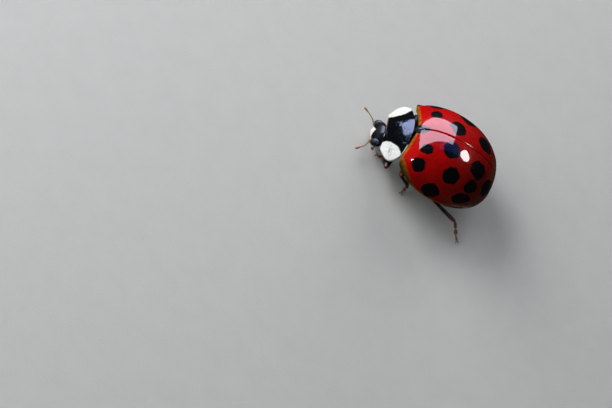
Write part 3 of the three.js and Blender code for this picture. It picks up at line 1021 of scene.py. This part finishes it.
class LADYBIRD_OT_head(bpy.types.Operator):
    """Head capsule, eyes and mouthparts"""

    bl_idname = "ladybird.head"
    bl_label = "Head"

    def execute(self, context):
        colours = context.scene.ladybird_colours
        bm = bmesh.new()
        add_ball(bm, HEAD, HEAD_RADII, capsule_shape, 96, 64)
        keep_piece(bm, "head_capsule", head_material(colours), ["head"])

        facets = eye_material()
        for side, sign in SIDES.items():
            bm = bmesh.new()
            add_eye(bm, sign)
            keep_piece(bm, f"eye_{side}_facets", facets, [f"eye_{side}"])

        bm = bmesh.new()
        add_ball(bm, head_frame(LABRUM_AT), LABRUM_RADII, lip_shape)
        keep_piece(bm, "labrum_plate", horn_material("labrum", colours.straw), ["labrum"])

        jaw_horn = horn_material("jaw_horn", JAW_BROWN)
        palp_horn = horn_material("palp_horn", PALP_BROWN)
        for side, sign in SIDES.items():
            bm = bmesh.new()
            root, tip = (on_head(end, sign) for end in MANDIBLE_ENDS)
            bow = HEAD.to_3x3() @ Vector((MANDIBLE_BOW[0], sign * MANDIBLE_BOW[1], MANDIBLE_BOW[2]))
            add_limb(bm, limb_shape(root, tip, (0.1, 0.1, 0.05, 0.02), 0.8, bow), 18, 18)
            keep_piece(bm, f"mandible_{side}_jaw", jaw_horn, [f"mandible_{side}"])

            bm = bmesh.new()
            joints = [on_head(joint, sign) for joint in PALP_JOINTS]
            count = len(PALP_WIDTHS)
            for k, radii in enumerate(PALP_WIDTHS):
                shape = limb_shape(joints[k], joints[k + 1], radii, 0.7)
                add_limb(bm, shape, 16, 14, k / count, (k + 1) / count)
            keep_piece(bm, f"palp_{side}_joints", palp_horn, [f"palp_{side}"])
        return {"FINISHED"}


def head_material(colours):
    """Black with a cream face that narrows towards the brow."""
    material, place = new_material("head")
    x, y, z = axes(seen_from(place, HEAD))
    forward = calc("MULTIPLY", x, -1.0)
    side = calc("ABSOLUTE", calc("SUBTRACT", y, 0.07))
    wobble = calc("MULTIPLY_ADD", cloud(place, 6.0, 2.0), 0.1, -0.05)
    inset = calc("MULTIPLY_ADD", side, -0.9, calc("ADD", forward, wobble))
    face = both(step(inset, -0.07, -0.01), step(side, 0.44, 0.37))
    tone = add_tone(place, 3.0)
    black = blend(tone, colours.black, HEAD_PALE)
    cream = blend(tone, colours.cream, rgb(colours.cream, 0.8))
    colour = blend(face, black, cream)
    glossy_crown = step(forward, -0.28, -0.42)
    return finish_material(material, colour, 0.45, add_pits(place, 22.0, 0.4), 0.002,
                           Coat_Weight=glossy_crown, Coat_Roughness=0.08, Specular_IOR_Level=0.12,
                           Specular_Tint=BLUE_SHEEN)


def eye_material():
    material, place = new_material("eye_facets")
    colour = blend(add_tone(place, 6.0), EYE_DARK, EYE_PALE)
    return finish_material(material, colour, 0.4, cloud(place, 60.0), 0.0005, Coat_Weight=0.3,
                           Coat_Roughness=0.25, Specular_IOR_Level=0.8, Specular_Tint=EYE_SHEEN)


def horn_material(name, base, tip=None, reach=(0.3, 0.9)):
    """Horny cuticle of one colour, or one that passes into the tip's within the given reach."""
    material, place = new_material(name)
    colour = blend(add_tone(place, 5.0), base, rgb(base, 0.6))
    if tip:
        colour = blend(step(mark(place, "along"), *reach), colour, tip)
    return finish_material(material, colour, 0.38, add_pits(place, 24.0, 0.45), 0.003,
                           Coat_Weight=0.2, Coat_Roughness=0.12)


# ---- feelers

def feeler_point(points, t):
    """A place on a feeler, with t from 0 at its socket to 1 at its tip."""
    stations = list(zip(FEELER_STATIONS, points))
    for (t0, a), (t1, b) in zip(stations, stations[1:]):
        if t <= t1:
            return a.lerp(b, (t - t0) / (t1 - t0))
    return points[-1]


class LADYBIRD_OT_feelers(bpy.types.Operator):
    """Both eleven-jointed feelers with their clubs"""

    bl_idname = "ladybird.feelers"
    bl_label = "Feelers"

    def execute(self, context):
        straw = context.scene.ladybird_colours.straw
        material = horn_material("feeler_horn", FEELER_BROWN, straw, (0.15, 0.7))
        for side, places in FEELERS.items():
            points = [Vector(place) for place in places]
            bm = bmesh.new()
            for k, width in enumerate(FEELER_RADII):
                start, end = FEELER_JOINT_ENDS[k:k + 2]
                lap = FEELER_LAP if end < 1 else 0
                joint = limb_shape(feeler_point(points, start), feeler_point(points, end + lap),
                                   (width * 0.7, width, width * 0.95))
                add_limb(bm, joint, 14, 12, start, end)
            nodes = [f"antenna_{side}_{part}" for part in ("scape", "funicle", "club")]
            keep_piece(bm, f"feeler_{side}", material, nodes)
        return {"FINISHED"}


# ---- legs

SOLE_HEIGHT = 0.07
CLAW_LENGTH = 0.13
CLAW_SPREAD = 0.1
CLAW_HEIGHT = 0.022  # of the tip's middle, so that the claw rests on the ground


def foot_sole(ankle, toe):
    """The end of the last foot joint, just above the ground, and the level way ahead."""
    ahead = Vector((toe.x - ankle.x, toe.y - ankle.y, 0)).normalized()
    return Vector((toe.x, toe.y, SOLE_HEIGHT)) + ahead * 0.02, ahead


def leg_shapes(name):
    """The limb shapes of one leg: its hip, its thigh, its shin and the three joints of its foot."""
    pair, side = name.split("_")
    sign = SIDES[side]
    hip, thigh = (Vector((p[0], sign * p[1], p[2])) for p in HIPS[pair])
    knee, ankle, toe = (Vector(p) for p in STANCE[name])
    sole = foot_sole(ankle, toe)[0]
    first = ankle.lerp(sole, 0.36)
    second = ankle.lerp(sole, 0.66)
    second.z = max(second.z - 0.04, 0.09)
    return {
        "hip": limb_shape(hip, thigh.lerp(hip, -0.25), (0.2, 0.28, 0.2), 0.8),
        "thigh": limb_shape(thigh, knee.lerp(thigh, -0.06), (0.1, 0.19, 0.2, 0.17, 0.12), 0.75,
                            (0, 0, 0.05), 0.9),
        "shin": limb_shape(knee.lerp(ankle, -0.05), ankle, (0.09, 0.09, 0.105, 0.12, 0.1), 0.8,
                           (0, 0, 0), 0.9),
        "foot_1": limb_shape(ankle, first, (0.075, 0.085, 0.09)),
        "foot_2": limb_shape(first, second, (0.07, 0.11, 0.12), 0.8),
        "foot_3": limb_shape(second, sole, (0.045, 0.05, 0.06)),
    }


def add_claws(bm, ankle, toe):
    """A pair of toothed claws that rest on the ground."""
    sole, ahead = foot_sole(ankle, toe)
    side = ahead.cross(Vector((0, 0, 1)))
    for sign in (-1, 1):
        root = sole + side * (0.035 * sign)
        tip = sole + ahead * CLAW_LENGTH + side * (CLAW_SPREAD * sign)
        tip.z = CLAW_HEIGHT
        claw = limb_shape(root, tip, (0.035, 0.03, 0.018, 0.01), 1.0, (0, 0, 0.035))
        add_limb(bm, claw, 12, 14, 0.9, 1.0)
        tooth = root.lerp(tip, 0.35)
        tooth_tip = tooth + ahead * 0.03 + side * (-0.02 * sign)
        tooth_tip.z = 0.02
        add_limb(bm, limb_shape(tooth, tooth_tip, (0.022, 0.012)), 10, 8, 0.9, 1.0)


class LADYBIRD_OT_legs(bpy.types.Operator):
    """Six legs: hip, thigh, shin, foot and claws"""

    bl_idname = "ladybird.legs"
    bl_label = "Legs"

    def execute(self, context):
        brown = context.scene.ladybird_colours.brown
        foot_horn = horn_material("foot_horn", brown, CLAW_BROWN, (0.2, 1.0))
        lengths = (
            ("hip", "coxa", horn_material("hip", THIGH_DARK), (20, 26)),
            ("thigh", "femur", horn_material("thigh", THIGH_DARK, brown, (0.85, 1.0)), (28, 36)),
            ("shin", "tibia", horn_material("shin", SHIN_DARK, brown, (0.45, 1.0)), (24, 36)),
        )
        for name, (_, ankle, toe) in STANCE.items():
            shapes = leg_shapes(name)
            for part, node, material, cells in lengths:
                bm = bmesh.new()
                add_limb(bm, shapes[part], *cells)
                keep_piece(bm, f"{name}_{part}", material, [f"{name}_{node}"])

            bm = bmesh.new()
            add_limb(bm, shapes["foot_1"], 18, 16, 0.0, 0.4)
            add_limb(bm, shapes["foot_2"], 18, 16, 0.4, 0.7)
            add_limb(bm, shapes["foot_3"], 16, 16, 0.6, 0.9)
            add_claws(bm, Vector(ankle), Vector(toe))
            keep_piece(bm, f"{name}_foot", foot_horn, [f"{name}_tarsus"])
        return {"FINISHED"}


# ---- underside

PLATE_CELLS = (12, 56)
PLATE_GAP = 0.012
PLATE_LAP = 0.035


def belly_point(x, v, lower):
    """A place on the underside, or on the body's top under the wing cases."""
    t = 2 * v - 1
    semi = (WIDEST_TO_FRONT if x < 0 else WIDEST_TO_REAR) - BODY_INSET
    widest = HALF_WIDTH - BODY_INSET
    half = widest * fullness(x, semi, OUTLINE_POWER)
    across = math.sin(t * math.pi / 2)
    y = half * across
    rim = rim_at(x)
    if lower:
        reach = math.hypot(x / semi, half * across / widest)
        depth = BELLY_DEPTH * math.sqrt(max(1 - min(reach, 1) ** 2, 0))
        return Vector((x, y, rim - depth))
    crown = RIM_HEIGHT + BACK_HEIGHT * fullness(x, BACK_BROW if x < 0 else semi, OUTLINE_POWER)
    rise = max(crown - rim, 0.02) * fullness(across, 1, ARCH_POWER)
    return Vector((x, y, rim + rise))


def belly_skin(x, v):
    """A place on the outside of the plates, each of which laps a little over the one behind it."""
    start = NECK
    for _, end in SECTIONS:
        if x <= end:
            break
        start = end
    place = belly_point(min(x, BODY_END), v, True)
    place.z += 0.02 - PLATE_LAP * smooth(start, end, x)
    return place


class LADYBIRD_OT_underside(bpy.types.Operator):
    """Breast plates and the rings of the abdomen"""

    bl_idname = "ladybird.underside"
    bl_label = "Underside"

    def execute(self, context):
        material = underside_material()
        start = NECK
        for name, end in SECTIONS:
            reach = (start + 1e-4, end - PLATE_GAP)

            def lower(u, v):
                return belly_skin(mix(*reach, u), v)

            def upper(u, v):
                return belly_point(min(mix(*reach, u), BODY_END), v, False)

            bm = bmesh.new()
            add_shell(bm, lower, upper, PLATE_CELLS, PLATE_GAP)
            keep_piece(bm, f"{name}_plate", material, [name])
            start = end

        bm = bmesh.new()
        breast = Matrix.Translation(PRONOTUM @ Vector(BREAST_AT)) @ PRONOTUM.to_3x3().to_4x4()
        add_ball(bm, breast, BREAST_RADII, None, 64, 40)
        keep_piece(bm, "prosternum_plate", material, ["prosternum"])
        return {"FINISHED"}


def underside_material():
    """Dark brown, and tan on the sides of the abdomen."""
    material, place = new_material("underside")
    x, y, z = axes(place)
    tone = add_tone(place, 3.0)
    edge = both(step(calc("ABSOLUTE", y), 0.9, 1.9), step(x, 0.0, 0.9))
    dark = blend(tone, BELLY_DARK, BELLY_PALE)
    colour = blend(edge, dark, BELLY_EDGE)
    return finish_material(material, colour, 0.35, add_pits(place, 14.0, 0.4), 0.005,
                           Coat_Weight=0.3, Coat_Roughness=0.15)


# ---- hairs

HAIR_SEED = 7
HAIR_WIDTH = 0.005
HAIR_PATCH = 0.003  # of a hair on the unwrapped skin
HAIRY_PARTS = (  # part of a leg, its share of hairs, their length, and how far they stand out
    ("thigh", 0.6, 0.8, 0.35),
    ("shin", 1.4, 1.0, 0.55),
    ("foot_1", 0.5, 0.8, 0.7),
    ("foot_2", 0.6, 0.8, 0.8),
    ("foot_3", 0.3, 0.7, 0.7),
)
BELLY_SHARE = 8
BELLY_REACH = (-1.3, 2.7)


def add_hair(bm, patch, root, way, length, spot):
    """Adds one thin, tapered hair, and puts its faces on a small patch of the unwrapped skin."""
    turn = Vector((0, 0, 1)).rotation_difference(way).to_matrix().to_4x4()
    place = Matrix.Translation(root + way * (length / 2 - HAIR_WIDTH)) @ turn
    cone = bmesh.ops.create_cone(bm, cap_ends=True, segments=3, radius1=HAIR_WIDTH,
                                 radius2=HAIR_WIDTH * 0.15, depth=length, matrix=place)["verts"]
    for face in {face for vert in cone for face in vert.link_faces}:
        for k, loop in enumerate(face.loops):
            corner = ((0, 0), (1, 0), (1, 1), (0, 1))[k]
            loop[patch].uv = [a + (b - 0.5) * HAIR_PATCH for a, b in zip(spot, corner)]


class LADYBIRD_OT_hairs(bpy.types.Operator):
    """Fine hairs on the legs and along the rings of the abdomen"""

    bl_idname = "ladybird.hairs"
    bl_label = "Hairs"

    def execute(self, context):
        sizes = context.scene.ladybird_sizes
        rng = random.Random(HAIR_SEED)
        material = horn_material("hair", HAIR_BROWN)
        for name in STANCE:
            bm = bmesh.new()
            patch = bm.loops.layers.uv.new("OFBake")
            shapes = leg_shapes(name)
            for column, (part, share, long, stand) in enumerate(HAIRY_PARTS):
                place = shapes[part]
                for _ in range(round(sizes.hair_count * share)):
                    t, angle = rng.uniform(0.06, 0.97), rng.uniform(0, 2 * math.pi)
                    root = place(t, math.cos(angle), math.sin(angle))
                    out = (root - place(t, 0, 0)).normalized()
                    ahead = (place(min(t + 0.02, 1), 0, 0) - place(t - 0.02, 0, 0)).normalized()
                    way = (out * stand + ahead + Vector((0, 0, rng.uniform(-0.1, 0.1)))).normalized()
                    length = sizes.hair_length * long * rng.uniform(0.7, 1.2)
                    if root.z + way.z * length < 0.01:
                        continue
                    spot = ((column + 0.1 + 0.8 * t) / 5, (0.05 + 0.9 * angle / (2 * math.pi)))
                    add_hair(bm, patch, root, way, length, spot)
            keep_piece(bm, f"{name}_hairs", material, ())

        bm = bmesh.new()
        patch = bm.loops.layers.uv.new("OFBake")
        front, rear = BELLY_REACH
        for _ in range(sizes.hair_count * BELLY_SHARE):
            x, v = rng.uniform(front, rear), rng.uniform(0.06, 0.94)
            root = belly_skin(x, v)
            out = Vector((0, root.y * 0.3, -1)).normalized()
            way = (out * 0.35 + Vector((1, 0, 0))).normalized()
            spot = (0.1 + 0.8 * (x - front) / (rear - front), v)
            add_hair(bm, patch, root, way, sizes.hair_length * rng.uniform(0.9, 1.4), spot)
        keep_piece(bm, "belly_hairs", material, ())
        return {"FINISHED"}


# ---- panel and run

OPERATORS = (
    LADYBIRD_OT_stage,
    LADYBIRD_OT_wing_cases,
    LADYBIRD_OT_pronotum,
    LADYBIRD_OT_head,
    LADYBIRD_OT_feelers,
    LADYBIRD_OT_legs,
    LADYBIRD_OT_underside,
    LADYBIRD_OT_hairs,
)


class LADYBIRD_PT_panel(bpy.types.Panel):
    """Lists the settings and the pieces"""

    bl_label = "Ladybird"
    bl_idname = "LADYBIRD_PT_panel"
    bl_space_type = "VIEW_3D"
    bl_region_type = "UI"
    bl_category = "Ladybird"

    def draw(self, context):
        layout = self.layout
        for group in (context.scene.ladybird_sizes, context.scene.ladybird_colours):
            for name in group.__annotations__:
                layout.prop(group, name)
        for operator in OPERATORS:
            layout.operator(operator.bl_idname)


CLASSES = (LadybirdSizes, LadybirdColours, *OPERATORS, LADYBIRD_PT_panel)


def register():
    for cls in CLASSES:
        bpy.utils.register_class(cls)
    bpy.types.Scene.ladybird_sizes = PointerProperty(type=LadybirdSizes)
    bpy.types.Scene.ladybird_colours = PointerProperty(type=LadybirdColours)


def unregister():
    del bpy.types.Scene.ladybird_colours
    del bpy.types.Scene.ladybird_sizes
    for cls in reversed(CLASSES):
        bpy.utils.unregister_class(cls)


def main():
    register()
    bpy.ops.ladybird.stage()
    bpy.ops.ladybird.wing_cases()
    bpy.ops.ladybird.pronotum()
    bpy.ops.ladybird.head()
    bpy.ops.ladybird.feelers()
    bpy.ops.ladybird.legs()
    bpy.ops.ladybird.underside()
    bpy.ops.ladybird.hairs()


if __name__ == "__main__":
    main()
